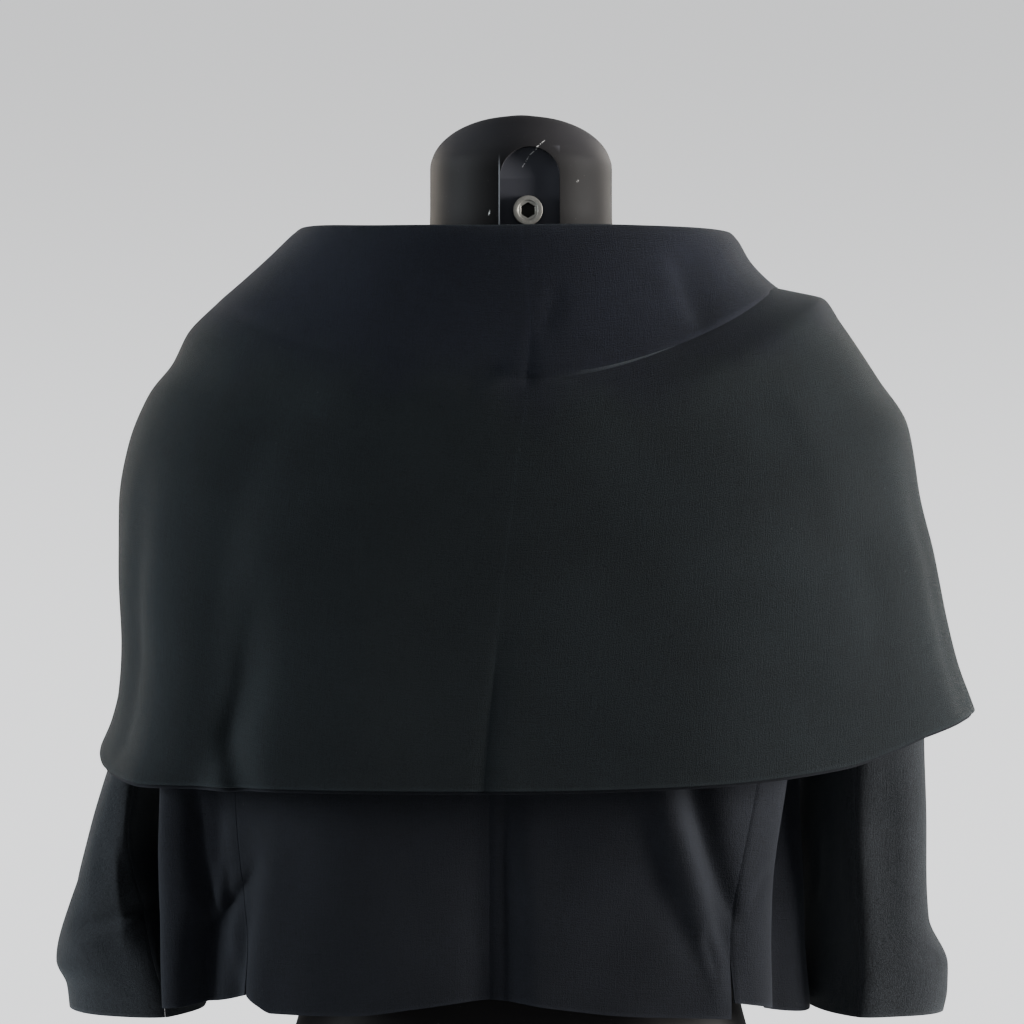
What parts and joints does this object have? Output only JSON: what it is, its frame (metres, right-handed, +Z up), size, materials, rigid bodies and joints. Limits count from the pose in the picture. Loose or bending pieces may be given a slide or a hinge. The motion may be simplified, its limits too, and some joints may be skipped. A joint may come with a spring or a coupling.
{
  "type": "draped jacket on dress form",
  "caption": "Cropped jacket with a deep double cape collar standing round the neck and folded over one shoulder, worn on a limbless dress form.",
  "frame": {"origin": "centre of the dress form's flat base, on the floor", "axes": "+Z up, +Y towards the back of the jacket, +X towards the wearer's left"},
  "size_m": [0.5668, 0.2896, 0.721],
  "materials": {
    "wool": "matt, plain-woven black wool suiting",
    "wool_cape": "matt, plain-woven black wool suiting, upper layer of the cape",
    "wool_facing": "matt black wool suiting, under layer of the cape",
    "form_plastic": "satin black moulded plastic with light scuffs",
    "bolt_steel": "dull zinc-plated steel"
  },
  "bodies": {
    "root": {"back_left": "wool", "back_right": "wool", "side_left": "wool", "side_right": "wool", "front_left": "wool", "front_right": "wool", "sleeve_left_upper": "wool", "sleeve_left_under": "wool", "sleeve_right_upper": "wool", "sleeve_right_under": "wool", "cape_left": "wool_cape", "cape_right": "wool_cape", "cape_facing_left": "wool_facing", "cape_facing_right": "wool_facing", "form_torso": "form_plastic", "form_bolt": "bolt_steel"}
  },
  "joints": []
}
